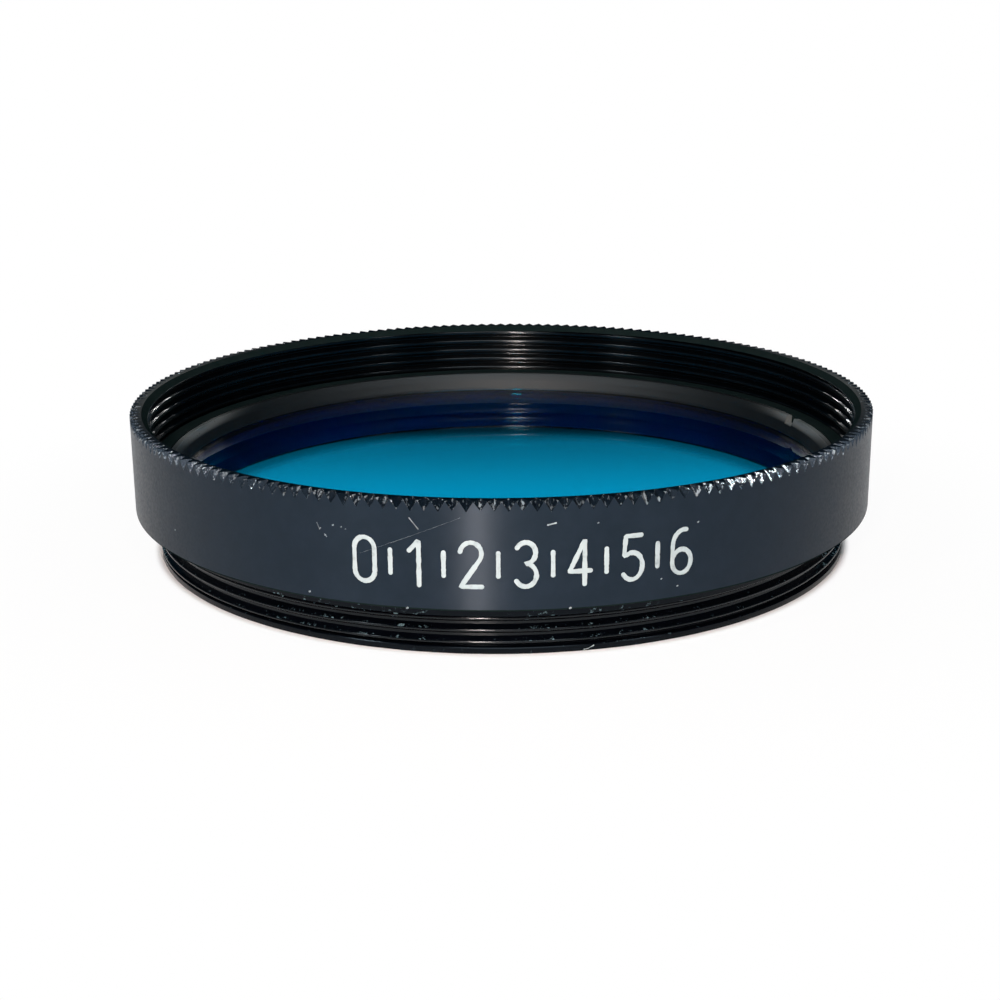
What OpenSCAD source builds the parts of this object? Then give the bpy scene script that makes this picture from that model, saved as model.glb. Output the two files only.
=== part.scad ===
// Screw-in colour filter for a camera lens: a turned ring, a round blue glass and the ring that holds it.
// The ring has a screw thread on both ends. The part stands on its lip, with Z along its axis.

/* [Thread] */
// Nominal diameter of the rear thread, which screws into the lens
thread_d = 49; // [37:0.5:82]
// Pitch of both threads
thread_pitch = 0.75; // [0.6:0.05:0.9]
// How far the outer thread stays under its nominal radius
outer_thread_allowance = 0.05; // [0:0.01:0.12]
// How far the front thread stands out past the rear one
front_over_thread = 0.7; // [0:0.05:0.7]

/* [Grip band] */
// Height of the grip band
band_h = 6.7; // [6:0.1:12]
// How far the band stands out past the thread
band_over_thread = 1.5; // [1.5:0.05:4]
// Edge break at the foot of the band
band_edge = 0.12; // [0.05:0.01:0.3]

/* [Notches] */
// Number of notches round the front corner
notch_count = 200; // [60:1:210]
// How far a notch reaches in over the rim
notch_reach_in = 0.7; // [0.3:0.05:0.75]
// How far a notch reaches down the band
notch_reach_down = 0.62; // [0.3:0.02:0.9]
// Angle between the two sides of a notch
notch_angle = 80; // [50:1:84]

/* [Rear end] */
// Height of the plain lip under the outer thread
lip_h = 0.42; // [0.3:0.02:1]
// Height of the narrow groove between the lip and the first turn
lip_groove = 0.06; // [0.04:0.01:0.3]
// Full turns of the outer thread
outer_turns = 3; // [2:1:6]
// Height of the plain shoulder between the outer thread and the band
shoulder_h = 0.76; // [0.4:0.02:1.5]
// How far the shoulder stands out past the thread
shoulder_over_thread = 0.35; // [0.25:0.05:0.8]
// Edge break inside the lip
lip_edge = 0.2; // [0.1:0.05:0.4]

/* [Glass] */
// Thickness of the glass
glass_t = 2; // [1:0.1:3]
// Bevel round both faces of the glass
glass_bevel = 0.2; // [0.1:0.05:0.4]
// How far the edge of the glass lies inside the nominal thread radius
glass_under_thread = 0.8; // [0.7:0.05:1.2]
// Gap between the edge of the glass and its seat
glass_clearance = 0.1; // [0.05:0.01:0.15]
// Width of the ledge under the glass and of the ring over it
seat_w = 0.8; // [0.6:0.05:1.6]
// Height of the ledge that the glass rests on
seat_h = 2.95; // [2:0.05:3.2]

/* [Retaining ring] */
// Height of the retaining ring
retainer_h = 1.3; // [0.9:0.05:1.6]
// Width of the flat on top of the retaining ring
retainer_flat = 0.45; // [0.2:0.05:0.5]
// Height of the plain land at the foot of the retaining ring
retainer_land = 0.2; // [0.1:0.05:0.4]
// Gap between the retaining ring and its seat
retainer_clearance = 0.05; // [0.02:0.01:0.1]
// Number of key slots in the retaining ring
slot_count = 2; // [2:1:6]
// Width of a key slot
slot_w = 1.1; // [0.6:0.1:2]
// Depth of a key slot
slot_depth = 0.6; // [0.3:0.05:0.7]
// Direction of the first key slot, from +X towards +Y
slot_turn = 19; // [0:1:180]

/* [Hidden] */
$fn = 96;

// A sixty degree thread is this many pitches deep, with flats of a quarter and an eighth of a pitch
thread_depth = 0.5413 * thread_pitch;
minor_flat = thread_pitch / 4;
major_flat = thread_pitch / 8;
flank = (thread_pitch - minor_flat - major_flat) / 2;

thread_r = thread_d / 2;
front_r = thread_r + front_over_thread;
outer_crest_r = thread_r - outer_thread_allowance;
outer_root_r = outer_crest_r - thread_depth;
inner_crest_r = front_r - thread_depth;
shoulder_r = thread_r + shoulder_over_thread;
band_r = thread_r + band_over_thread;
glass_r = thread_r - glass_under_thread;
seat_r = glass_r + glass_clearance;
bore_r = glass_r - seat_w;
retainer_r = seat_r - retainer_clearance;
retainer_flat_r = retainer_r - retainer_flat;

first_crest_z = lip_h + lip_groove + flank;
shoulder_z = first_crest_z + (outer_turns - 1) * thread_pitch + major_flat + flank;
band_z = shoulder_z + shoulder_h;
front_z = band_z + band_h;
glass_top_z = seat_h + glass_t;
retainer_top_z = glass_top_z + retainer_h;
inner_thread_z = front_z - thread_depth;
first_groove_z = inner_thread_z - minor_flat;
inner_turns = floor((inner_thread_z - retainer_top_z) / thread_pitch);

notch_slope = atan2(notch_reach_down, notch_reach_in);
notch_run = norm([notch_reach_in, notch_reach_down]);
notch_over = 0.3;
notch_depth = notch_reach_in * sin(notch_slope) + notch_over;

// Outer thread from the lip up, one crest a turn
function outer_crest(z) = [
    [outer_root_r, z - flank],
    [outer_crest_r, z],
    [outer_crest_r, z + major_flat],
    [outer_root_r, z + major_flat + flank]
];

// Front thread from the lead-in down, one groove a turn
function inner_groove(z) = [
    [inner_crest_r, z],
    [front_r, z - flank],
    [front_r, z - flank - major_flat],
    [inner_crest_r, z - thread_pitch + minor_flat]
];

// Half section of the ring, from the inside of the lip round by the outside and back down the bore
function mount_section() = concat(
    [
        [bore_r, lip_edge],
        [bore_r + lip_edge, 0],
        [outer_crest_r, 0],
        [outer_crest_r, lip_h],
        [outer_root_r, lip_h]
    ],
    [for (turn = [0 : outer_turns - 1]) each outer_crest(first_crest_z + turn * thread_pitch)],
    [
        [shoulder_r, shoulder_z],
        [shoulder_r, band_z],
        [band_r - band_edge, band_z],
        [band_r, band_z + band_edge],
        [band_r, front_z],
        [front_r, front_z],
        [inner_crest_r, inner_thread_z]
    ],
    [for (turn = [0 : inner_turns - 1]) each inner_groove(first_groove_z - turn * thread_pitch)],
    [
        [inner_crest_r, retainer_top_z],
        [seat_r, retainer_top_z],
        [seat_r, seat_h],
        [bore_r, seat_h]
    ]
);

// One V groove across the front corner, from the rim down to the band
module notch() {
    translate([band_r - notch_reach_in, 0, front_z])
        rotate([0, notch_slope, 0])
            translate([-notch_over, 0, 0])
                rotate([90, 0, 90])
                    linear_extrude(height = notch_run + 2 * notch_over)
                        polygon([
                            [0, 0],
                            [notch_depth * tan(notch_angle / 2), notch_depth],
                            [-notch_depth * tan(notch_angle / 2), notch_depth]
                        ]);
}

// Turned ring with the grip band, both threads and the seat for the glass
module mount_ring() {
    color([0.17, 0.19, 0.22])
        difference() {
            rotate_extrude()
                polygon(mount_section());
            for (i = [0 : notch_count - 1])
                rotate([0, 0, i * 360 / notch_count])
                    notch();
        }
}

// Plane glass disc with both edges bevelled
module filter_glass() {
    color([0.02, 0.42, 0.58, 0.6])
        translate([0, 0, seat_h])
            rotate_extrude()
                polygon([
                    [0, 0],
                    [glass_r - glass_bevel, 0],
                    [glass_r, glass_bevel],
                    [glass_r, glass_t - glass_bevel],
                    [glass_r - glass_bevel, glass_t],
                    [0, glass_t]
                ]);
}

// Ring over the edge of the glass, bevelled inside and slotted for a key
module retaining_ring() {
    color([0.22, 0.23, 0.24])
        difference() {
            translate([0, 0, glass_top_z])
                rotate_extrude()
                    polygon([
                        [bore_r, 0],
                        [retainer_r, 0],
                        [retainer_r, retainer_h],
                        [retainer_flat_r, retainer_h],
                        [bore_r, retainer_land]
                    ]);
            for (i = [0 : slot_count - 1])
                rotate([0, 0, slot_turn + i * 360 / slot_count])
                    translate([bore_r - slot_w, -slot_w / 2, retainer_top_z - slot_depth])
                        cube([retainer_r - bore_r + 2 * slot_w, slot_w, slot_depth + slot_w]);
        }
}

mount_ring();
filter_glass();
retaining_ring();
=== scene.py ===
"""Dressed model of a screw-in colour filter: a notched black ring, a blue glass and the ring that holds it.

Sizes are in millimetres in the classes and become metres when a mesh is written. Angles run from the
side that faces the camera (-Y) towards +X, so a point is (r sin a, -r cos a, z).
"""
from __future__ import annotations

import logging
import math
from collections.abc import Callable
from dataclasses import dataclass, field
from enum import Enum

import bpy
import numpy as np
from bpy.types import ID, Material, Mesh, NodeSocket, Object
from mathutils import Euler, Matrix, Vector


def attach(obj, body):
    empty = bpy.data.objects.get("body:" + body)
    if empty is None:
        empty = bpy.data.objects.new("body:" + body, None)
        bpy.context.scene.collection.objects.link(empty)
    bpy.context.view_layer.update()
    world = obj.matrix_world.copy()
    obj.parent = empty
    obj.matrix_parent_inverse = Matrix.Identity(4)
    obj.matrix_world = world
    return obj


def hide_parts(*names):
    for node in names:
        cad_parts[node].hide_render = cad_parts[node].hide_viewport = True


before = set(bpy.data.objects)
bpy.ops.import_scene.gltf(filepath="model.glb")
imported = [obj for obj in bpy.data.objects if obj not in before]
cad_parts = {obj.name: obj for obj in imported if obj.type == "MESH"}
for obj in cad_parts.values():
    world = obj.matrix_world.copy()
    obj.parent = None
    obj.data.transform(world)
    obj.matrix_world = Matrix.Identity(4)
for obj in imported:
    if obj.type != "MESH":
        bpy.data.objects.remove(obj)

LOG = logging.getLogger("filter")
MM = 0.001
BODY = "root"

# Sizes that more than one piece shares, in millimetres
BAND_RADIUS = 26.0
LIP_RADIUS = 24.4
SEAT_RADIUS = 23.8
BORE_RADIUS = 22.9
SEAT_HEIGHT = 2.95
GLASS_THICKNESS = 2.0
RETAINER_HEIGHT = 1.3
GLASS_TOP = SEAT_HEIGHT + GLASS_THICKNESS
RETAINER_TOP = GLASS_TOP + RETAINER_HEIGHT

Array = np.ndarray
Pair = tuple[float, float]
Triple = tuple[float, float, float]
Colour = tuple[float, float, float, float]
WHITE = (1.0, 1.0, 1.0, 1.0)
BLACK = (0.0, 0.0, 0.0, 1.0)


class Finish(Enum):
    """The finishes that the faces of a piece can have, in the order of its material slots."""

    BAND = 0
    RIM = 1
    NOTCH = 2
    BORE = 3
    REAR = 4
    SEAT = 5
    CREST = 6
    DULL = 7


Row = tuple[object, object, Finish, object]


def math_node(operation: str, swapped: bool = False) -> Callable[[Value, object], Value]:
    """A method that adds one Math node.

    Args:
        operation: what the node works out.
        swapped: whether the other term comes first.

    Returns:
        The method, which takes the other term.
    """
    def method(self: Value, other: object) -> Value:
        """Adds the node. Args: other: the other term. Returns: its result."""
        terms = (other, self) if swapped else (self, other)
        return self.tree.node("Math", {"operation": operation}, dict(enumerate(terms)))

    return method


class Value:
    """A node's output socket that reads like a number: its operators add Math nodes to its tree.

    larger is the larger of two, and y.turn_from(x) is the angle whose tangent is y over x, in radians.
    """

    __add__ = math_node("ADD")
    __radd__ = math_node("ADD", swapped=True)
    __sub__ = math_node("SUBTRACT")
    __rsub__ = math_node("SUBTRACT", swapped=True)
    __mul__ = math_node("MULTIPLY")
    __rmul__ = math_node("MULTIPLY", swapped=True)
    __pow__ = math_node("POWER")
    __rpow__ = math_node("POWER", swapped=True)
    larger = math_node("MAXIMUM")
    turn_from = math_node("ARCTAN2")

    def __init__(self, tree: Tree, socket: NodeSocket | None) -> None:
        """Args: tree: the tree that new nodes go to. socket: the output that is wrapped, if there is one."""
        self.tree = tree
        self.socket = socket

    def step(self, low: float, high: float) -> Value:
        """A smooth step. Args: low, high: where it starts and ends. Returns: 0 below to 1 above."""
        settings = {"interpolation_type": "SMOOTHSTEP", "clamp": True}
        return self.tree.node("MapRange", settings, {"Value": self, "From Min": low, "From Max": high})


class Tree:
    """A material's or world's node tree, with one method that adds every node."""

    def __init__(self, owner: ID) -> None:
        """Args: owner: the material or world whose nodes are made anew."""
        owner.use_nodes = True
        self.tree = owner.node_tree
        self.tree.nodes.clear()

    def node(self, kind: str, settings: dict[str, object], values: dict, out: int | str = 0) -> Value:
        """Adds a node.

        Args:
            kind: the node's type, without its first word ShaderNode.
            settings: attributes that are set first.
            values: inputs by name or number, as numbers, colours or wrapped sockets.
            out: name or number of the output that is returned.

        Returns:
            The wrapped output.
        """
        made = self.tree.nodes.new("ShaderNode" + kind)
        for name, value in settings.items():
            setattr(made, name, value)
        for name, value in values.items():
            if isinstance(value, Value):
                self.tree.links.new(value.socket, made.inputs[name])
            else:
                made.inputs[name].default_value = value
        return Value(self, made.outputs[out]) if made.outputs else Value(self, None)

    def place(self) -> Value:
        """Object coordinates, in metres."""
        return self.node("TexCoord", {}, {}, "Object")

    def ray(self, kind: str) -> Value:
        """Whether a ray is of a kind. Args: kind: an output of Light Path. Returns: 1 or 0."""
        return self.node("LightPath", {}, {}, kind)

    def axes(self, vector: Value) -> list[Value]:
        """Splits a vector. Args: vector: what is split. Returns: its x, y and z."""
        first = self.node("SeparateXYZ", {}, {"Vector": vector})
        return [Value(self, socket) for socket in first.socket.node.outputs]

    def vector(self, x: object, y: object, z: object) -> Value:
        """Joins three numbers. Args: x, y, z: the parts. Returns: the vector."""
        return self.node("CombineXYZ", {}, {"X": x, "Y": y, "Z": z})

    def noise(self, vector: Value, scale: float, detail: float, rough: float) -> Value:
        """Noise. Args: vector: where. scale: per metre. detail, rough: its octaves. Returns: 0 to 1."""
        values = {"Vector": vector, "Scale": scale, "Detail": detail, "Roughness": rough}
        return self.node("TexNoise", {}, values)

    def blend(self, mask: object, low: object, high: object) -> Value:
        """Mixes two colours. Args: mask: 0 to 1. low, high: the colours at 0 and 1. Returns: the colour."""
        return self.node("Mix", {"data_type": "RGBA"}, {0: mask, 6: low, 7: high}, 2)

    def bump(self, height: Value, distance: float) -> Value:
        """A bumped normal. Args: height: 0 to 1. distance: metres. Returns: the normal."""
        return self.node("Bump", {}, {"Height": height, "Distance": distance, "Strength": 1.0})

    def finish(self, shader: Value, world: bool = False) -> None:
        """Links the surface. Args: shader: what is linked. world: whether the tree is a world's."""
        kind = "OutputWorld" if world else "OutputMaterial"
        self.node(kind, {}, {"Surface": shader})


@dataclass(frozen=True)
class Surface:
    """A finish with one surface shader, whose inputs each kind works out for itself."""

    name: str

    def inputs(self, tree: Tree) -> dict[str, object]:
        """The shader's inputs. Args: tree: their tree. Returns: values by input."""
        raise NotImplementedError

    def material(self) -> Material:
        """Builds the material. Returns: it."""
        made = bpy.data.materials.new(self.name)
        tree = Tree(made)
        tree.finish(tree.node("BsdfPrincipled", {}, self.inputs(tree)))
        return made


@dataclass(frozen=True)
class Anodised(Surface):
    """Black anodised turned aluminium: a dark coat, fine turning marks and a cloudy sheen.

    Chips show where there is wear: patches of noise past the rarity, in the worn colour and as metallic as
    bare says. They are chip_stretch times as tall as wide, and chip_spread makes them grow with the wear. On
    some pieces the wear also holds painted glints, a painted sheen and a painted highlight.
    """

    base: Colour
    cloud: Colour
    roughness: float
    specular: float
    anisotropy: float = 0.0
    gloss: Colour = WHITE
    chipping: float = 0.0
    rarity: float = 0.46
    chip_edge: float = 0.16
    chip_scale: float = 3600.0
    chip_stretch: float = 1.0
    chip_spread: float = 0.0
    unrolled: float = 0.026
    cloud_scale: float = 900.0
    cloud_sheen: float = 0.08
    grain_scale: float = 5200.0
    groove_depth: float = 0.002
    groove_count: float = 9000.0
    worn: Colour = (0.42, 0.43, 0.44, 1.0)
    bare: float = 1.0
    mottle: float = 0.08

    def inputs(self, tree: Tree) -> dict[str, object]:
        """The shader's inputs. Args: tree: their tree. Returns: values by input."""
        place = tree.place()
        x, y, z = tree.axes(place)
        radius = (x * x + y * y) ** 0.5
        cloud = tree.noise(place, self.cloud_scale, 4.0, 0.6)
        grain = tree.noise(place, self.grain_scale, 2.0, 0.5)
        grooves = tree.noise(tree.vector(radius, z, 0.0), self.groove_count, 2.0, 0.7)
        # The wear attribute also holds painted glints, sheen and highlights.
        wear = tree.node("Attribute", {"attribute_name": "wear"}, {}, "Fac")
        drawn = 1.0 / self.chip_stretch
        spot = tree.vector(y.turn_from(x) * self.unrolled, radius * drawn, z * drawn)
        patch = tree.noise(spot, self.chip_scale, 3.0, 0.7) + wear * self.chip_spread
        chips = wear * self.chipping * patch.step(self.rarity, self.rarity + self.chip_edge)
        base = tree.blend(cloud.step(0.3, 0.75), self.base, self.cloud)
        rough = self.roughness + (grain - 0.5) * self.mottle + (cloud - 0.5) * self.cloud_sheen
        normal = tree.bump(grooves * 0.7 + grain * 0.3, self.groove_depth * MM)
        values = {
            "Base Color": tree.blend(chips, base, self.worn),
            "Roughness": rough,
            "Metallic": chips * self.bare,
            "Specular IOR Level": self.specular,
            "Specular Tint": self.gloss,
            "Anisotropic": self.anisotropy,
            "Anisotropic Rotation": 0.25,
            "Normal": normal,
        }
        if self.anisotropy > 0:
            values["Tangent"] = tree.node("Tangent", {"direction_type": "RADIAL", "axis": "Z"}, {})
        return values


@dataclass(frozen=True)
class LitSeat(Surface):
    """The bore under the glass, matte and blue from the light that the glass lets in, most at its foot."""

    name: str = "seat_metal"
    lit_height: float = 0.0021
    upper: Colour = (0.0, 0.028, 0.10, 1.0)
    lower: Colour = (0.0, 0.10, 0.17, 1.0)
    roughness: float = 0.6

    def inputs(self, tree: Tree) -> dict[str, object]:
        """The shader's inputs. Args: tree: their tree. Returns: values by input."""
        place = tree.place()
        _, _, z = tree.axes(place)
        cloud = tree.noise(place, 900.0, 3.0, 0.6)
        lit = (self.lit_height - z).step(0.0, self.lit_height)
        return {
            "Base Color": tree.blend(lit, self.upper, self.lower),
            "Roughness": self.roughness + (cloud - 0.5) * 0.1,
            "Specular IOR Level": 0.03,
        }


@dataclass(frozen=True)
class ColouredGlass(Surface):
    """Polished glass coloured through, whose faces reflect blue."""

    name: str = "blue_glass"
    tint: Colour = (0.0, 0.45, 0.82, 1.0)
    hazy: Colour = (0.0, 0.48, 0.84, 1.0)
    gloss: Colour = (0.0, 0.16, 0.30, 1.0)
    index: float = 1.52

    def inputs(self, tree: Tree) -> dict[str, object]:
        """The shader's inputs. Args: tree: their tree. Returns: values by input."""
        place = tree.place()
        haze = tree.noise(place, 140.0, 3.0, 0.6).step(0.35, 0.9)
        dust = tree.noise(place, 3000.0, 2.0, 0.6).step(0.72, 0.8)
        return {
            "Base Color": tree.blend(haze * 0.25, self.tint, self.hazy),
            "Roughness": haze * 0.02 + dust * 0.05,
            "IOR": self.index,
            "Transmission Weight": 1.0,
            "Specular Tint": self.gloss,
        }


@dataclass(frozen=True)
class MarkPaint(Surface):
    """White filling paint of the marks on the band, a little rubbed."""

    name: str = "mark_paint"
    white: Colour = (0.39, 0.49, 0.52, 1.0)
    rubbed: Colour = (0.24, 0.30, 0.33, 1.0)

    def inputs(self, tree: Tree) -> dict[str, object]:
        """The shader's inputs. Args: tree: their tree. Returns: values by input."""
        patch = tree.noise(tree.place(), 1700.0, 3.0, 0.6)
        return {
            "Base Color": tree.blend(patch.step(0.5, 0.8), self.white, self.rubbed),
            "Roughness": 0.55 + patch * 0.2,
            "Specular IOR Level": 0.3,
            "Normal": tree.bump(patch, 0.004 * MM),
        }


@dataclass(frozen=True)
class BareMetal(Surface):
    """Aluminium where the coat is scratched off."""

    name: str = "bare_metal"
    pale: Colour = (0.38, 0.46, 0.50, 1.0)
    dull: Colour = (0.15, 0.19, 0.21, 1.0)

    def inputs(self, tree: Tree) -> dict[str, object]:
        """The shader's inputs. Args: tree: their tree. Returns: values by input."""
        patch = tree.noise(tree.place(), 3000.0, 3.0, 0.6)
        return {
            "Base Color": tree.blend(patch.step(0.4, 0.6), self.dull, self.pale),
            "Roughness": 0.4 + patch * 0.2,
            "Metallic": patch.step(0.3, 0.7) * 0.5,
            "Specular IOR Level": 0.5,
        }


class Shell:
    """Collects grid rows and the strips between them, and writes one closed mesh."""

    def __init__(self) -> None:
        """Starts with no points and no faces."""
        self.points: list[Array] = []
        self.wear: list[Array] = []
        self.quads: list[tuple[Array, int]] = []
        self.size = 0

    def add(self, points: Array, wear: float | Array = 0.0) -> Array:
        """Adds points.

        Args:
            points: an array whose last axis is x, y, z in millimetres.
            wear: how worn each point is, with any painted glint, sheen or highlight: 0 is new, 1 is worn, and
                more widens the chips.

        Returns:
            The points' numbers, in the array's own layout.
        """
        flat = points.reshape(-1, 3)
        self.points.append(flat)
        self.wear.append(np.broadcast_to(np.asarray(wear, float), points.shape[:-1]).reshape(-1))
        numbers = np.arange(self.size, self.size + len(flat)).reshape(points.shape[:-1])
        self.size += len(flat)
        return numbers

    def strip(self, low: Array, high: Array, finish: Finish) -> None:
        """Joins two closed rows of the same length. Args: low, high: the rows. finish: the faces' finish."""
        faces = np.stack([low, np.roll(low, -1), np.roll(high, -1), high], 1)
        self.quads.append((faces, finish.value))

    def run(self, angle: Array, section: list[Row], last: Array | None = None) -> list[Array]:
        """Adds the rows of a section, each joined to the row before it.

        Args:
            angle: the angles of the columns, in radians.
            section: radius, height, finish of the faces that lead to the row, and wear, for each row.
            last: a row to start from.

        Returns:
            The rows, with the one to start from.
        """
        rows = [] if last is None else [last]
        for radius, height, finish, wear in section:
            rows.append(self.add(turned(angle, radius, height), wear))
            if len(rows) > 1:
                self.strip(rows[-2], rows[-1], finish)
        return rows

    def fan(self, coarse: Array, fine: Array, finish: Finish, up: bool) -> None:
        """Joins a row to one with a whole multiple of its points, by one many-sided face a coarse step.

        Args:
            coarse: the row with fewer points.
            fine: the row with more points.
            finish: the faces' finish.
            up: whether the fine row comes after the coarse one along the section.
        """
        ratio = len(fine) // len(coarse)
        steps = (np.arange(len(coarse))[:, None] * ratio + np.arange(ratio, -1, -1)[None, :]) % len(fine)
        faces = np.concatenate([coarse[:, None], np.roll(coarse, -1)[:, None], fine[steps]], 1)
        self.quads.append((faces if up else faces[:, ::-1], finish.value))

    def helix(self, rows: Array, turn: int, finish: Finish, flip: bool) -> None:
        """Joins the rows of a screw grid, whose last column meets the first one a turn further up.

        The lines of faces on both flats and on the rounded corners of the crest take the crests' finish.

        Args:
            rows: point numbers, one row a line along the helix and one column an angle.
            turn: how many rows one turn has.
            finish: the other faces' finish.
            flip: whether the faces look at the axis.
        """
        count = len(rows)
        shifted = rows[np.minimum(np.arange(count) + turn, count - 1), 0]
        wide = np.concatenate([rows, shifted[:, None]], 1)
        faces = np.stack([wide[:-1, :-1], wide[:-1, 1:], wide[1:, 1:], wide[1:, :-1]], -1)
        faces = faces[..., ::-1] if flip else faces
        line = np.arange(count - 1) % turn
        flat = (np.abs(line - (turn // 2 - 0.5)) < 3) | (line == turn - 1)
        self.quads.append((faces[~flat].reshape(-1, 4), finish.value))
        self.quads.append((faces[flat].reshape(-1, 4), Finish.CREST.value))

    def mesh(self, name: str, materials: list[Material], sharp: float) -> Object:
        """Merges points that lie on each other, drops faces without area and writes the object.

        Args:
            name: the object's name.
            materials: its material slots.
            sharp: the angle in degrees past which an edge stays sharp.

        Returns:
            The object, at the origin and riding on the part's body.
        """
        points = np.concatenate(self.points)
        wear = np.concatenate(self.wear)
        _, first, back = np.unique(np.round(points, 4), axis=0, return_index=True, return_inverse=True)
        back = back.reshape(-1)
        faces: list[list[int]] = []
        slots: list[int] = []
        for group, slot in self.quads:
            merged = back[group]
            keep = merged != np.roll(merged, 1, axis=1)
            full = keep.all(1)
            faces += merged[full].tolist()
            slots += [slot] * int(full.sum())
            part = np.nonzero(~full & (keep.sum(1) >= 3))[0]
            faces += [merged[i][keep[i]].tolist() for i in part]
            slots += [slot] * len(part)
        data = bpy.data.meshes.new(name)
        data.from_pydata((points[first] * MM).tolist(), [], faces)
        data.polygons.foreach_set("material_index", np.array(slots, np.int32))
        layer = data.attributes.new("wear", "FLOAT", "POINT")
        layer.data.foreach_set("value", wear[first].astype(np.float32))
        data.update()
        for material in materials:
            data.materials.append(material)
        data.shade_smooth()
        data.set_sharp_from_angle(angle=math.radians(sharp))
        self.part_finishes(data)
        made = add_object(name, data)
        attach(made, BODY)
        return made

    @staticmethod
    def part_finishes(data: Mesh) -> None:
        """Keeps an edge between two finishes sharp.

        An edge is sharp where the least and the greatest slot of its faces differ.

        Args:
            data: the mesh, whose sharp edges are already set by angle.
        """
        def read(items: object, name: str, kind: type = np.int32) -> Array:
            """One value of each item. Args: items: them. name, kind: the value's. Returns: all values."""
            values = np.empty(len(items), kind)
            items.foreach_get(name, values)
            return values

        edge = read(data.loops, "edge_index")
        corner = np.repeat(read(data.polygons, "material_index"), read(data.polygons, "loop_total"))
        least = np.full(len(data.edges), 99, np.int32)
        most = np.full(len(data.edges), -1, np.int32)
        np.minimum.at(least, edge, corner)
        np.maximum.at(most, edge, corner)
        layer = data.attributes.get("sharp_edge") or data.attributes.new("sharp_edge", "BOOLEAN", "EDGE")
        layer.data.foreach_set("value", read(layer.data, "value", bool) | (least != most))


def around(count: int) -> Array:
    """Angles round the axis, from the back. Args: count: how many. Returns: them, in radians."""
    return -math.pi + np.arange(count) * (2 * math.pi / count)


def turned(angle: Array, radius: object, height: object) -> Array:
    """Points of a turned form: (r sin a, -r cos a, z).

    Args:
        angle: angles in radians.
        radius: radii, one or one an angle.
        height: heights, one or one an angle.

    Returns:
        An array of points whose last axis is x, y, z.
    """
    r = np.broadcast_to(radius, angle.shape)
    z = np.broadcast_to(height, angle.shape)
    return np.stack([r * np.sin(angle), -r * np.cos(angle), z], -1)


def add_object(name: str, data: ID) -> Object:
    """Adds an object to the scene. Args: name: its name. data: its mesh, light or camera. Returns: it."""
    made = bpy.data.objects.new(name, data)
    bpy.context.scene.collection.objects.link(made)
    return made


def bell(value: Array, middle: object, width: object) -> Array:
    """A bell curve: exp(-((v - m) / w)^2). Args: value: v. middle: m. width: w. Returns: 0 to 1."""
    return np.exp(-(((value - middle) / width) ** 2))


@dataclass
class Screw:
    """One screw thread: crests of the given pitch that climb with the angle, between two flat ends."""

    crest: float
    root: float
    low: float
    high: float
    phase: float
    pitch: float = 0.75
    crest_flat: float = 0.10
    root_flat: float = 0.19
    rounding: float = 0.035

    def rows(self, shell: Shell, columns: int, wear: object) -> tuple[Array, int]:
        """Adds the grid of the thread.

        The height of a row is its own start plus pitch times angle over a full turn, held between the two
        ends, and its radius runs from root to crest with the distance from the nearest crest line. The corner
        of the crest is rounded by two faces that rise by 20 and 40 degrees.

        Args:
            shell: the mesh that takes it.
            columns: how many angles.
            wear: how worn the crests are, with any painted glints, one value or one an angle.

        Returns:
            The numbers of its points, and how many rows one turn has.
        """
        half = self.crest_flat / 2
        flank = (self.pitch - self.crest_flat - self.root_flat) / 2
        depth = self.root - self.crest
        soft = self.rounding
        foot = half + flank
        along = np.array([0.0, half - soft, half, half + soft / 2, foot - soft, foot + soft / 2])
        share = np.array([0.0, 0.0, 0.36 * soft, 0.78 * soft, 0.0, abs(depth)]) / abs(depth)
        share[4] = share[3] + (1 - share[3]) * (flank - 1.5 * soft) / (flank - soft / 2)
        knots = np.concatenate([-along[::-1], along[1:]])
        levels = self.crest + depth * np.concatenate([share[::-1], share[1:]])
        turn = len(knots)
        turns = np.arange(math.floor((self.low - self.phase) / self.pitch) - 2,
                          math.ceil((self.high - self.phase) / self.pitch) + 3)
        starts = (self.phase + turns[:, None] * self.pitch + knots[None, :]).reshape(-1)
        angle = around(columns)
        climb = self.pitch * angle / (2 * math.pi)
        height = np.clip(starts[:, None] + climb[None, :], self.low, self.high)
        off = height - climb[None, :] - self.phase
        off = np.abs(off - self.pitch * np.round(off / self.pitch))
        radius = np.interp(off, knots[turn // 2:], levels[turn // 2:])
        worn = wear * (np.abs(radius - self.crest) < 0.3 * abs(depth))
        grid = np.broadcast_to(angle, height.shape)
        return shell.add(turned(grid, radius, height), worn), turn


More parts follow.
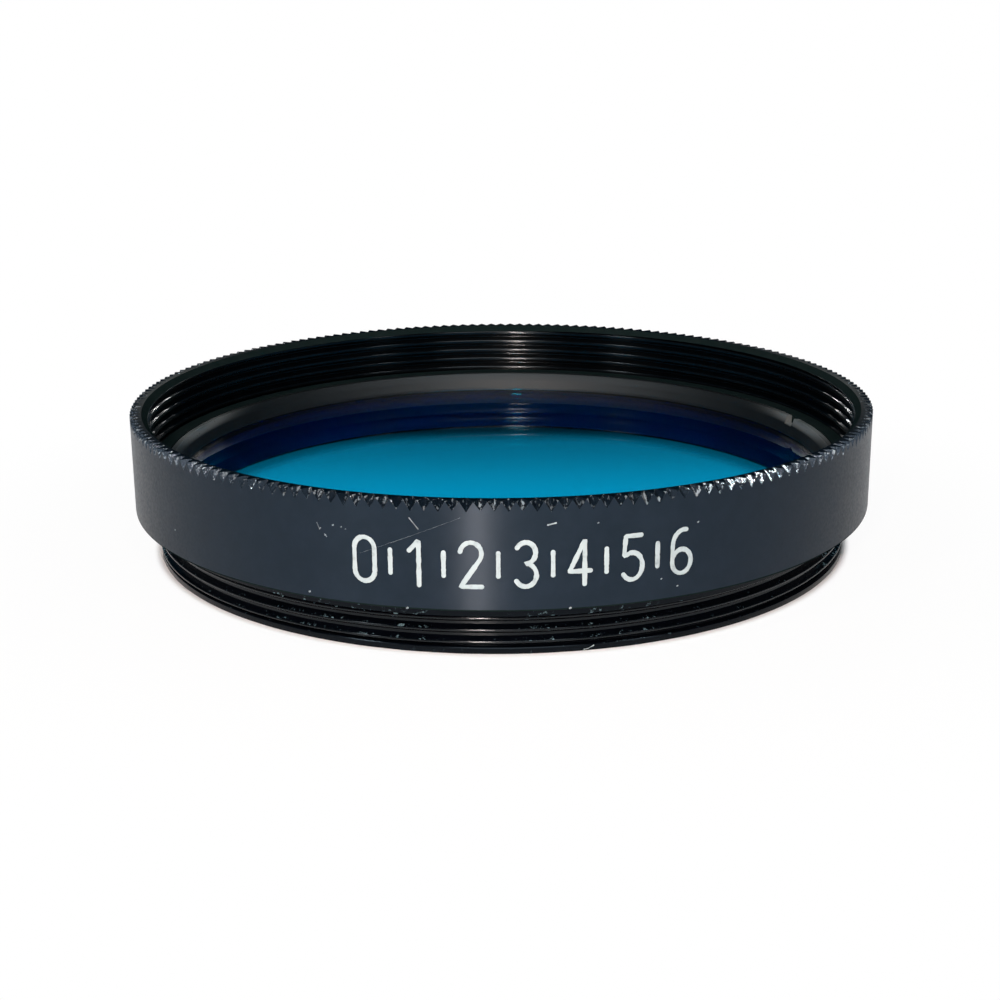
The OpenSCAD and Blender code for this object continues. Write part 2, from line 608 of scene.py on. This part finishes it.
@dataclass
class MountRing:
    """The turned ring: grip band with a notched corner, both threads, and the seat for the glass.

    A bell is a middle and a width in degrees. Each mark is a painted glint on the rear thread and the
    shoulder, and adds a height to their wear.
    """

    columns: int = 400
    bore_radius: float = BORE_RADIUS
    seat_radius: float = SEAT_RADIUS
    seat_height: float = SEAT_HEIGHT
    seat_top: float = RETAINER_TOP
    lip_radius: float = LIP_RADIUS
    lip_height: float = 0.42
    shoulder_radius: float = 24.86
    shoulder_foot: float = 2.54
    band_radius: float = BAND_RADIUS
    band_foot: float = 3.3
    top: float = 10.0
    rim_width: float = 0.80
    lead_in: float = 0.4
    outer: Screw = field(default_factory=lambda: Screw(24.42, 24.02, 0.47, 2.42, 0.765))
    inner: Screw = field(default_factory=lambda: Screw(24.79, 25.20, 6.30, 9.58, 9.05, 0.75, 0.19, 0.10))
    notches: int = 200
    notch_in: float = 0.67
    notch_down: float = 0.62
    notch_width: float = 0.80
    notch_scatter: float = 0.10
    notch_seed: int = 7
    corner: float = 0.035
    # Painted glints on the notches near 36 degrees, given as wear: a bell's middle and width, and its
    # strength.
    glint_bell: Pair = (36.0, 8.0)
    glint_strength: float = 1.25
    # Painted sheen on the rim at each side, given as wear: middle and width in degrees.
    sheen_bell: Pair = (100.0, 24.0)
    # Painted glints on the rear thread and the shoulder, given as wear: middle, width and height of a bell.
    marks: tuple[Triple, ...] = (
        (-75.0, 5.0, 3.5), (-34.2, 0.8, 1.8), (-28.6, 1.2, 1.2), (-25.5, 0.8, 1.8), (-20.3, 1.3, 1.5),
        (-15.0, 0.9, 2.2), (-11.6, 0.9, 1.5), (3.9, 1.0, 1.3), (6.1, 1.2, 1.5), (13.0, 0.8, 1.6),
        (17.2, 1.0, 1.5), (21.3, 0.9, 1.3), (62.0, 1.4, 4.0), (68.0, 2.0, 4.0), (75.0, 3.0, 3.0))

    def notch_columns(self) -> tuple[Array, Array]:
        """Angles of the fine columns and how deep each lies in its notch.

        Returns:
            The angles in radians, and 1 at the bottom of a notch falling linearly to 0 on the land.
        """
        pitch = 2 * math.pi / self.notches
        half = self.notch_width / 2 / self.band_radius
        inside = np.array([-1.0, -0.94, -0.6, -0.3, -0.05, 0.05, 0.3, 0.6, 0.94, 1.0]) * half
        land = half + (pitch - 2 * half) * np.array([1 / 3, 2 / 3])
        local = np.concatenate([inside, land])
        depth = np.clip(1 - np.abs(local) / half, 0, 1)
        angle = around(self.notches)[:, None] + half + local[None, :]
        return angle.reshape(-1), np.tile(depth, self.notches)

    def painted_sheen(self, angle: Array) -> Array:
        """Painted sheen on the rim, given as wear: a bell on each side. Args: angle: in radians. Returns: 0
        to 1.
        """
        side = np.abs((np.degrees(angle) + 180.0) % 360.0 - 180.0)
        return bell(side, *self.sheen_bell)

    def rear_glints(self, angle: Array) -> Array:
        """Painted glints on the rear thread, given as wear: the sum of the marks' bells. Args: angle: in
        radians. Returns: it.
        """
        middle, width, high = np.array(self.marks).T
        return (high * bell(np.degrees(angle)[:, None], middle, width)).sum(axis=1)

    def rim(self, shell: Shell) -> tuple[Array, Array]:
        """Adds the notched corner between the band and the flat rim.

        In a notch the corner is cut by a plane through a point on the rim and a point on the band, and both
        points move out to the corner in proportion to the distance from the middle of the notch. Each notch
        has its own reach and wear. The land between two notches keeps a small chamfer.

        Args:
            shell: the mesh that takes it.

        Returns:
            The first fine row, on the band, and the last one, on the rim.
        """
        angle, depth = self.notch_columns()
        each = len(angle) // self.notches
        rng = np.random.default_rng(self.notch_seed)
        vary = 1 + self.notch_scatter * np.repeat(rng.standard_normal(self.notches), each).clip(-1.0, 1.0)
        reach_in = self.notch_in * depth * vary
        reach_down = self.notch_down * depth * vary
        soft, small = self.corner, 0.3 * self.corner
        land = depth < 0.1
        r, z = self.band_radius, self.top
        worn = np.repeat(rng.random(self.notches) ** 2, each)
        # Painted glints along the valleys of some notches, given as wear.
        valley_glint = (depth > 0.8) * np.repeat(rng.random(self.notches) ** 3, each)
        # Painted glints on the notches about the bell's middle, given as wear.
        painted_glint = bell(np.degrees(angle), *self.glint_bell)
        # The notch faces' wear: real wear on the lands plus the painted glints.
        side = 0.9 * land * worn + 0.9 * valley_glint + self.glint_strength * painted_glint
        # Painted sheen on the rim at the sides, given as wear.
        painted_sheen = self.painted_sheen(angle)
        rows = shell.run(angle, [
            (r, z - 0.80, Finish.BAND, 0.0),
            (r, z - np.maximum(reach_down + 0.02, soft), Finish.BAND, 0.3 * worn),
            (r - small * land, z - np.maximum(reach_down, small), Finish.NOTCH, side + 0.2),
            (r - reach_in * 0.5 - small, z - reach_down * 0.5 - small, Finish.NOTCH, side + 0.1),
            (r - np.maximum(reach_in, small), z - small * land, Finish.NOTCH, side + 0.2),
            (r - np.maximum(reach_in + 0.02, soft), z, Finish.NOTCH, painted_sheen),
            (r - self.rim_width + 0.03, z, Finish.RIM, painted_sheen)])
        return rows[0], rows[-1]

    def build(self, materials: list[Material]) -> Object:
        """Builds the ring: rows of the section from the lip up the outside, over the rim and down the bore.

        Args:
            materials: the finishes, in the order of Finish.

        Returns:
            The object, which stands for the node mount_ring.
        """
        shell = Shell()
        angle = around(self.columns)
        band, rim, rear = Finish.BAND, Finish.RIM, Finish.REAR
        bore, seat, dull = Finish.BORE, Finish.SEAT, Finish.DULL
        # Painted glints on the rear thread and painted sheen on the rim, both given as wear.
        painted_glints, painted_sheen = self.rear_glints(angle), self.painted_sheen(angle)
        r, z, root = self.lip_radius, self.lip_height, self.outer.root
        lip = shell.run(angle, [
            (self.bore_radius, 0.2, rear, 0), (self.bore_radius + 0.2, 0.0, rear, 0),
            (r - 0.06, 0.0, rear, 0), (r - 0.02, 0.02, rear, 0.5), (r, 0.06, rear, 0.3),
            (r, z - 0.05, rear, 0.1), (r - 0.03, z - 0.01, rear, 0.4), (r - 0.07, z, rear, 0.2),
            (root, z + 0.02, rear, 0), (root, self.outer.low, rear, 0)])
        # Real wear on the crests plus the painted glints.
        grid, turn = self.outer.rows(shell, self.columns, 0.5 + painted_glints)
        shell.strip(lip[-1], grid[0], rear)
        shell.helix(grid, turn, rear, False)
        r, z = self.shoulder_radius, self.shoulder_foot
        # The shoulder's wear holds the painted glints too.
        shoulder = shell.run(angle, [
            (root, self.outer.high, rear, 0), (root, z - 0.02, rear, 0), (r - 0.06, z, rear, 0),
            (r - 0.01, z + 0.04, rear, 0.4 + painted_glints), (r, z + 0.10, rear, 0.1 + painted_glints),
            (r, self.band_foot - 0.04, rear, 0.5 * painted_glints), (r + 0.04, self.band_foot, rear, 0)], grid[-1])
        r, z = self.band_radius, self.band_foot
        grip = shell.run(angle, [
            (r - 0.14, z, dull, 0), (r - 0.06, z + 0.01, dull, 0), (r - 0.01, z + 0.06, dull, 0),
            (r, z + 0.12, dull, 0), (r, z + 0.14, band, 0.2), (r, z + 0.30, band, 0), (r, z + 3.2, band, 0),
            (r, self.top - 1.0, band, 0)], shoulder[-1])
        low, high = self.rim(shell)
        shell.fan(grip[-1], low, band, True)
        crest, root, z = self.inner.crest, self.inner.root, self.top
        # The rim's edge at the mouth carries the painted sheen too.
        mouth = shell.run(angle, [
            (root + 0.02, z, rim, painted_sheen), (root, z - 0.015, rim, painted_sheen),
            (crest + 0.02, z - self.lead_in, dull, 0), (crest, self.inner.high, bore, 0.1)])
        shell.fan(mouth[0], high, rim, False)
        grid, turn = self.inner.rows(shell, self.columns, 0.15)
        shell.strip(mouth[-1], grid[-1], bore)
        shell.helix(grid, turn, bore, True)
        ledge = shell.run(angle, [
            (crest, self.inner.low, bore, 0), (crest, self.seat_top, bore, 0),
            (self.seat_radius, self.seat_top, dull, 0), (self.seat_radius, self.seat_height, dull, 0),
            (self.bore_radius, self.seat_height, seat, 0), (self.bore_radius, 1.5, seat, 0)], grid[0])
        shell.strip(ledge[-1], lip[0], seat)
        made = shell.mesh("notched_mount_ring", materials, 32.0)
        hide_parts("mount_ring")
        return made


@dataclass
class FilterGlass:
    """The round glass, a plane disc with bevelled edges."""

    columns: int = 360
    radius: float = SEAT_RADIUS - 0.1
    foot: float = SEAT_HEIGHT
    thickness: float = GLASS_THICKNESS
    bevel: float = 0.2

    def build(self, material: Material) -> Object:
        """Builds the disc by turning its half section, with one many-sided face on each side.

        Args:
            material: the glass.

        Returns:
            The object, which stands for the node filter_glass.
        """
        shell = Shell()
        angle = around(self.columns)
        z0, z1, r, b = self.foot, self.foot + self.thickness, self.radius, self.bevel
        section = ((r - b, z0), (r, z0 + b), (r, z1 - b), (r - b, z1))
        rows = shell.run(angle, [(radius, height, Finish.BAND, 0) for radius, height in section])
        shell.quads.append((rows[0][None, ::-1], Finish.BAND.value))
        shell.quads.append((rows[-1][None, :], Finish.BAND.value))
        made = shell.mesh("blue_filter_glass", [material], 20.0)
        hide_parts("filter_glass")
        return made


@dataclass
class RetainingRing:
    """The thin ring over the glass, bevelled inside, with two key slots."""

    columns: int = 720
    outer_radius: float = SEAT_RADIUS - 0.05
    inner_radius: float = BORE_RADIUS
    foot: float = GLASS_TOP
    height: float = RETAINER_HEIGHT
    slot_angles: Pair = (109.0, 289.0)
    slot_width: float = 1.1
    slot_depth: float = 0.6
    slot_radius: float = 23.3
    wall: float = 0.001
    # Where the painted highlight on the top flat lies: middle and width in degrees.
    highlight_bell: Pair = (104.0, 9.0)

    def build(self, material: Material) -> Object:
        """Builds the ring: every column has the half section, cut flat at the slot floor inside a slot.

        Two columns stand on each side of a slot, one uncut and one cut, and make its upright walls. The flat
        on top carries a painted highlight near the slots, given as wear by a bell on each side.

        Args:
            material: the finish.

        Returns:
            The object, which stands for the node retaining_ring.
        """
        shell = Shell()
        top = self.foot + self.height
        floor = top - self.slot_depth
        out, inn = self.outer_radius, self.inner_radius
        section = (
            (inn, self.foot), (out, self.foot), (out, floor), (out, top - 0.05), (out - 0.05, top),
            (out - 0.40, top), (out - 0.44, top - 0.04), (inn + 0.19, floor + 0.05), (inn + 0.17, floor),
            (inn + 0.03, self.foot + 0.24), (inn, self.foot + 0.18))
        half = math.degrees(self.slot_width / 2 / self.slot_radius)
        base = np.degrees(around(self.columns)) + 180.0
        middle = np.array(self.slot_angles)[:, None]
        edges = middle + np.array([-half - self.wall, -half, half, half + self.wall])
        turn = np.sort(np.concatenate([base, edges.reshape(-1)]))
        cut = (np.abs(turn - middle) < half + self.wall / 2).any(axis=0)
        # Painted highlight on the top flat, given as wear.
        rubbed = bell(np.abs((turn + 180.0) % 360.0 - 180.0), *self.highlight_bell)
        rows = shell.run(np.radians(turn), [
            (radius, np.where(cut, min(height, floor), height), Finish.BAND, rubbed * (height > floor + 0.1))
            for radius, height in section])
        shell.strip(rows[-1], rows[0], Finish.BAND)
        made = shell.mesh("glass_retaining_ring", [material], 30.0)
        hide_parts("retaining_ring")
        return made


def arc(middle: Pair, radii: Pair, start: float, end: float, count: int = 14) -> Array:
    """Points of an arc of an ellipse: middle plus radii times (cos t, sin t).

    Args:
        middle: the ellipse's centre.
        radii: its half axes.
        start: the first t, in degrees.
        end: the last one.
        count: how many points.

    Returns:
        The points.
    """
    turn = np.radians(np.linspace(start, end, count))
    return np.stack([middle[0] + radii[0] * np.cos(turn), middle[1] + radii[1] * np.sin(turn)], 1)


def digit_strokes() -> list[Array]:
    """The digits from 0 to 6 in a cell 1 wide and 2 high, as a routing cutter draws them.

    Returns:
        A line of points for each digit.
    """
    digits = (
        (arc((0.5, 1.5), (0.5, 0.5), 0, 180), arc((0.5, 0.5), (0.5, 0.5), 180, 360), [[1.0, 1.5]]),
        ([[0.15, 1.55], [0.6, 2.0], [0.6, 0.0]],),
        (arc((0.5, 1.5), (0.5, 0.5), 170, -35), [[0.02, 0.0], [1.0, 0.0]]),
        (arc((0.5, 1.52), (0.46, 0.48), 150, -90), arc((0.5, 0.52), (0.5, 0.52), 90, -150)),
        ([[0.72, 0.0], [0.72, 2.0], [0.0, 0.6], [1.0, 0.6]],),
        ([[0.92, 2.0], [0.16, 2.0], [0.08, 1.12]], arc((0.48, 0.62), (0.52, 0.62), 120, -145)),
        (arc((0.62, 1.3), (0.6, 0.7), 80, 180, 8), arc((0.5, 0.55), (0.5, 0.55), 180, -180, 26)),
    )
    return [np.concatenate(parts) for parts in digits]


@dataclass
class Scribe:
    """Draws strokes on a cylinder: flat bands a little proud of it, with round ends and a ragged width."""

    radius: float
    stroke: float
    proud: float = 0.012
    ragged: float = 0.12
    sunk: float = 0.03
    spacing: float = 0.12
    seed: int = 3
    rng: np.random.Generator = field(init=False)

    def __post_init__(self) -> None:
        """Starts the scatter of the widths."""
        self.rng = np.random.default_rng(self.seed)

    def draw(self, shell: Shell, line: Array) -> None:
        """Adds one stroke.

        Each point of the line moves half a stroke to either side along the normal of the line, more or less
        by a wandering sine that fades at the ends, and the end points are followed by half circles. The edge
        rises in two steps. Angle is arc length over radius.

        Args:
            shell: the mesh that takes it.
            line: points in millimetres, along the band and up.
        """
        reach = np.concatenate([[0], np.cumsum(np.hypot(*np.diff(line, axis=0).T))])
        count = max(4, int(reach[-1] / self.spacing) + 2)
        spots = np.unique(np.concatenate([np.linspace(0, reach[-1], count), reach]))
        path = np.stack([np.interp(spots, reach, line[:, i]) for i in (0, 1)], 1)
        along = np.gradient(path, axis=0)
        along /= np.maximum(np.hypot(along[:, 0], along[:, 1]), 1e-9)[:, None]
        drift = np.cumsum(self.rng.standard_normal(len(path) + 8))[8:]
        inner = np.minimum(1.0, 3.0 * np.sin(np.pi * np.arange(len(path)) / (len(path) - 1)))
        sway = self.ragged * np.sin(drift * 0.9) * inner
        side = np.stack([-along[:, 1], along[:, 0]], 1) * (self.stroke / 2) * (1 + sway[:, None])
        turn = np.radians(np.linspace(0, 180, 9)[1:-1])
        across, ahead = np.cos(turn)[:, None], np.sin(turn)[:, None] * self.stroke / 2
        head = path[-1] - across * side[-1] + ahead * along[-1]
        tail = path[0] + across * side[0] - ahead * along[0]
        loop = np.concatenate([path - side, head, (path + side)[::-1], tail])
        centre = np.concatenate([
            path, np.repeat(path[-1:], len(head), 0), path[::-1], np.repeat(path[:1], len(tail), 0)])
        bevel = centre + 0.86 * (loop - centre)
        section = ((centre, -self.sunk), (loop, -self.sunk), (loop, 0.6 * self.proud), (bevel, self.proud),
                   (centre, self.proud))
        rows = []
        for flat, rise in section:
            rows.append(shell.add(turned(flat[:, 0] / self.radius, self.radius + rise, flat[:, 1])))
        for low, high in zip(rows, rows[1:]):
            shell.strip(low, high, Finish.BAND)


@dataclass
class BandMarks:
    """A plain index scale on the band: upright ticks with the digits 0 to 6, cut and filled with white."""

    band_radius: float = BAND_RADIUS
    middle: float = 3.0
    step: float = 7.0
    digit_width: float = 1.25
    digit_height: float = 2.7
    tick_height: float = 1.4
    level: float = 6.2
    stroke: float = 0.28

    def build(self, material: Material) -> Object:
        """Builds all marks as one piece, each digit in its cell and a tick half a step after it.

        Args:
            material: the paint.

        Returns:
            The object.
        """
        shell = Shell()
        pen = Scribe(self.band_radius, self.stroke)
        digits = digit_strokes()
        last = len(digits) - 1
        wide, high, rise = self.digit_width, self.digit_height / 2, self.tick_height / 2
        for number, line in enumerate(digits):
            place = math.radians(self.middle + (number - last // 2) * self.step) * self.band_radius
            pen.draw(shell, line * (wide, high) + (place - wide / 2, self.level - high))
            if number < last:
                tick = place + math.radians(self.step / 2) * self.band_radius
                pen.draw(shell, np.array([[tick, self.level - rise], [tick, self.level + rise]]))
        made = shell.mesh("index_scale_marks", [material], 40.0)
        return made


@dataclass
class HandlingWear:
    """Scratches and specks on the band and a chip on the lip, where the coat is gone.

    A scratch is two angles and heights and a width, a speck is one of each, with angles in degrees.
    """

    band_radius: float = BAND_RADIUS
    lip_radius: float = LIP_RADIUS
    scratches: tuple[tuple[float, float, float, float, float], ...] = (
        (-11.86, 8.91, -10.72, 8.27, 0.07), (-18.61, 6.53, -5.29, 9.03, 0.006),
        (5.83, 8.56, 6.85, 8.66, 0.10), (-24.7, 8.1, -24.3, 7.7, 0.04), (-23.6, 7.45, -23.3, 7.3, 0.05),
    )
    specks: tuple[Triple, ...] = (
        (-22.39, 8.06, 0.09), (-24.25, 7.78, 0.07), (-23.55, 7.38, 0.07), (12.29, 8.51, 0.08),
        (26.36, 7.85, 0.09), (21.06, 4.65, 0.08), (23.44, 4.06, 0.08), (-53.12, 5.09, 0.12),
        (-26.24, 3.68, 0.12), (-12.41, 3.36, 0.12), (8.70, 3.40, 0.12), (-21.2, 8.0, 0.06),
        (-20.6, 7.9, 0.05),
    )
    chip: tuple[Pair, ...] = ((11.5, 0.09), (12.1, 0.14), (12.9, 0.30))
    chip_width: float = 0.06
    ragged: float = 0.3

    def build(self, material: Material) -> Object:
        """Builds every scratch as a thin stroke and every speck as a short one.

        Args:
            material: the bare metal.

        Returns:
            The object.
        """
        shell = Shell()
        bend = math.radians(1.0) * self.band_radius
        for a0, z0, a1, z1, wide in self.scratches:
            line = np.array([[a0 * bend, z0], [a1 * bend, z1]])
            Scribe(self.band_radius, wide, 0.004, self.ragged).draw(shell, line)
        for a, z, wide in self.specks:
            line = np.array([[a * bend, z], [a * bend + 0.04, z + 0.02]])
            Scribe(self.band_radius, wide, 0.006, self.ragged).draw(shell, line)
        line = np.array(self.chip) * (math.radians(1.0) * self.lip_radius, 1.0)
        Scribe(self.lip_radius, self.chip_width, 0.006, self.ragged).draw(shell, line)
        made = shell.mesh("handling_scratches", [material], 40.0)
        return made


@dataclass(frozen=True)
class Lamp:
    """One soft lamp: a square of light that looks at the ring, with its place and size in metres."""

    name: str
    place: Triple
    size: float
    energy: float
    tint: Triple = (1.0, 1.0, 1.0)
    aim: Triple = (0.0, 0.0, 0.006)

    def build(self) -> None:
        """Adds the lamp."""
        data = bpy.data.lights.new(self.name, "AREA")
        data.energy = self.energy
        data.color = self.tint
        data.size = self.size
        made = add_object(self.name, data)
        made.location = self.place
        made.rotation_euler = (Vector(self.aim) - Vector(self.place)).to_track_quat("-Z", "Y").to_euler()


@dataclass
class PaleFloor:
    """Paper under the part: white away from it, with a shadow at its foot and a pool of light in its bore.

    A pair is where a smooth step starts and ends, in metres, by radius or, for the pool, towards the front.
    """

    paper: Colour = (0.9, 0.9, 0.9, 1.0)
    shadow: Pair = (0.0243, 0.0250)
    far_shadow: Pair = (0.026, 0.05)
    bore: Pair = (0.0231, 0.0235)
    pool_back: Pair = (-0.0225, -0.0170)
    pool_middle: Pair = (-0.0185, -0.002)
    pool_rim: Pair = (0.0200, 0.0229)
    mirrored: float = 0.42
    steps: int = 96
    circles: tuple[float, ...] = (40.0, 200.0, 8000.0)

    def material(self) -> Material:
        """Builds the paper, which glows for the camera and through the glass, and less in mirrors.

        Returns:
            The material.
        """
        made = bpy.data.materials.new("pale_floor")
        tree = Tree(made)
        x, y, _ = tree.axes(tree.place())
        radius = (x * x + y * y) ** 0.5
        away = radius.step(*self.shadow) * 0.95 + radius.step(*self.far_shadow) * 0.05
        under = 1.0 - radius.step(*self.bore)
        front = 0.0 - y
        pool = 0.09 + front.step(*self.pool_back) * 0.33 + front.step(*self.pool_middle) * 0.40
        pool = pool * (1.0 - radius.step(*self.pool_rim) * 0.55)
        seen = tree.ray("Is Camera Ray").larger(tree.ray("Is Glossy Ray") * self.mirrored)
        seen = seen.larger(tree.ray("Is Transmission Ray"))
        level = tree.blend(1.0 - under * (1.0 - pool), BLACK, WHITE)
        paper = tree.node("BsdfDiffuse", {}, {"Color": self.paper})
        glow = tree.node("Emission", {}, {"Color": level, "Strength": 1.0})
        tree.finish(tree.node("MixShader", {}, {0: seen * (away + under), 1: paper, 2: glow}))
        return made

    def build(self) -> None:
        """Adds the floor: a fan out to the first circle, and a ring of faces out to each further one."""
        rows = [turned(around(self.steps), radius, 0.0) for radius in self.circles]
        points = np.concatenate([np.zeros((1, 3)), *rows]) * MM
        low = 1 + np.arange(self.steps)
        faces = np.stack([0 * low, low, np.roll(low, -1)], 1).tolist()
        for _ in self.circles[1:]:
            high = low + self.steps
            faces += np.stack([low, high, np.roll(high, -1), np.roll(low, -1)], 1).tolist()
            low = high
        data = bpy.data.meshes.new("floor")
        data.from_pydata(points.tolist(), [], faces)
        data.materials.append(self.material())
        made = add_object("floor", data)


@dataclass
class Studio:
    """Pale floor, white surroundings, soft lamps and the camera of the photograph.

    The low, glint and high lamps stand behind the part and are named after the side where their glints show.
    """

    lamps: tuple[Lamp, ...] = (
        Lamp("soft_box", (0.05, -0.72, 0.85), 0.6, 5.0),
        Lamp("streak_lamp", (-0.0135, -0.1205, 0.040), 0.008, 0.13, (1.0, 0.78, 0.68)),
        Lamp("left_side_lamp", (-0.50, -0.42, 0.56), 0.10, 1.1),
        Lamp("right_side_lamp", (0.50, -0.42, 0.56), 0.12, 0.5),
        Lamp("left_low_lamp", (0.062, 0.60, 0.20), 0.012, 0.045),
        Lamp("left_glint_lamp", (0.115, 0.60, 0.275), 0.012, 0.200),
        Lamp("left_high_lamp", (0.15, 0.58, 0.335), 0.012, 0.180),
        Lamp("right_low_lamp", (-0.062, 0.60, 0.20), 0.012, 0.045),
        Lamp("right_glint_lamp", (-0.115, 0.60, 0.275), 0.012, 0.200),
        Lamp("right_high_lamp", (-0.15, 0.58, 0.335), 0.012, 0.180),
    )
    horizon: Pair = (0.03, 0.17)
    bright: float = 0.45
    dim: float = 0.05
    room: Colour = (0.12, 0.62, 1.0, 1.0)
    lens: float = 62.434
    camera_place: Triple = (0.0, -0.1205333, 0.0391155)
    camera_turn: Triple = (72.948037, 0.396695, -0.06051)

    def world(self) -> None:
        """Surroundings that fall from white to a dim room over the horizon, by the height looked at.

        The camera sees plain white instead.
        """
        world = bpy.data.worlds.new("studio_room")
        bpy.context.scene.world = world
        tree = Tree(world)
        _, _, up = tree.axes(tree.node("TexCoord", {}, {}, "Generated"))
        above = up.step(*self.horizon)
        seen = tree.ray("Is Camera Ray")
        strength = seen.larger(self.bright - above * (self.bright - self.dim))
        hue = tree.blend(seen, tree.blend(above, WHITE, self.room), WHITE)
        tree.finish(tree.node("Background", {}, {"Color": hue, "Strength": strength}), True)

    def camera(self) -> None:
        """The camera, solved from the ellipses of the rim and the lip."""
        data = bpy.data.cameras.new("photo_camera")
        data.sensor_width = 36.0
        data.lens = self.lens
        data.clip_start = 0.005
        data.clip_end = 30.0
        made = add_object("photo_camera", data)
        made.location = self.camera_place
        made.rotation_euler = Euler([math.radians(angle) for angle in self.camera_turn])
        bpy.context.scene.camera = made

    def build(self) -> None:
        """Sets the stage."""
        bpy.context.scene.view_settings.view_transform = "Standard"
        self.world()
        PaleFloor().build()
        self.camera()
        for lamp in self.lamps:
            lamp.build()


def ring_finishes() -> list[Material]:
    """The finishes of the mount ring, in the order of Finish. Returns: their materials."""
    surfaces = (
        Anodised("band_metal", (0.007, 0.013, 0.021, 1.0), (0.009, 0.016, 0.026, 1.0), roughness=0.37,
                 specular=0.26, anisotropy=0.97, gloss=(0.62, 0.80, 1.0, 1.0), mottle=0.30),
        # The rim's worn colour is its painted sheen at the sides; the rim has no other wear.
        Anodised("rim_metal", (0.001, 0.004, 0.008, 1.0), (0.003, 0.007, 0.012, 1.0), roughness=0.3,
                 specular=0.0, chipping=1.0, rarity=0.0, worn=(0.072, 0.080, 0.080, 1.0), bare=0.0),
        # The notches' worn colour serves both real wear on the lands and the painted glints.
        Anodised("notch_metal", (0.002, 0.005, 0.009, 1.0), (0.005, 0.010, 0.016, 1.0), roughness=0.2,
                 specular=0.45, gloss=(0.62, 0.78, 1.0, 1.0), chipping=1.0, chip_spread=0.05, rarity=0.565,
                 chip_edge=0.06, chip_scale=5200.0, chip_stretch=2.6, groove_depth=0.05,
                 worn=(0.74, 0.88, 0.95, 1.0)),
        Anodised("bore_metal", (0.0005, 0.0007, 0.001, 1.0), (0.001, 0.0015, 0.002, 1.0), roughness=0.2,
                 specular=0.3, anisotropy=0.95, groove_depth=0.0005),
        # The rear's worn colour serves both real wear and the painted glints.
        Anodised("rear_metal", (0.0005, 0.001, 0.002, 1.0), (0.001, 0.0015, 0.003, 1.0), roughness=0.2,
                 specular=0.16, anisotropy=0.5, gloss=(0.65, 0.85, 1.0, 1.0), chipping=0.8, chip_spread=0.05,
                 rarity=0.62, chip_edge=0.22, worn=(0.30, 0.50, 0.58, 1.0), bare=0.4),
        LitSeat(),
        Anodised("crest_metal", (0.001, 0.0015, 0.002, 1.0), (0.002, 0.003, 0.004, 1.0), roughness=0.24,
                 specular=0.36, anisotropy=0.97, gloss=(0.8, 0.92, 1.0, 1.0), groove_depth=0.0005),
        Anodised("dull_metal", (0.007, 0.014, 0.014, 1.0), (0.010, 0.017, 0.017, 1.0), roughness=0.4,
                 specular=0.0),
    )
    return [surface.material() for surface in surfaces]


def log_piece(made: Object) -> None:
    """Logs a piece. Args: made: its object."""
    LOG.info("%s: %d faces", made.name, len(made.data.polygons))


def main() -> None:
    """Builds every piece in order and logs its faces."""
    logging.basicConfig(level=logging.INFO, format="%(message)s")
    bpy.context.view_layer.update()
    Studio().build()
    LOG.info("studio ready")
    log_piece(MountRing().build(ring_finishes()))
    log_piece(FilterGlass().build(ColouredGlass().material()))
    # The worn colour is the painted highlight on the top flat; the ring has no other wear.
    black = Anodised("retainer_metal", (0.001, 0.0015, 0.002, 1.0), (0.002, 0.003, 0.0035, 1.0),
                     roughness=0.52, specular=0.58, gloss=(0.85, 0.95, 1.0, 1.0), chipping=1.0, rarity=0.25,
                     worn=(0.36, 0.40, 0.40, 1.0))
    log_piece(RetainingRing().build(black.material()))
    log_piece(BandMarks().build(MarkPaint().material()))
    log_piece(HandlingWear().build(BareMetal().material()))


if __name__ == "__main__":
    main()
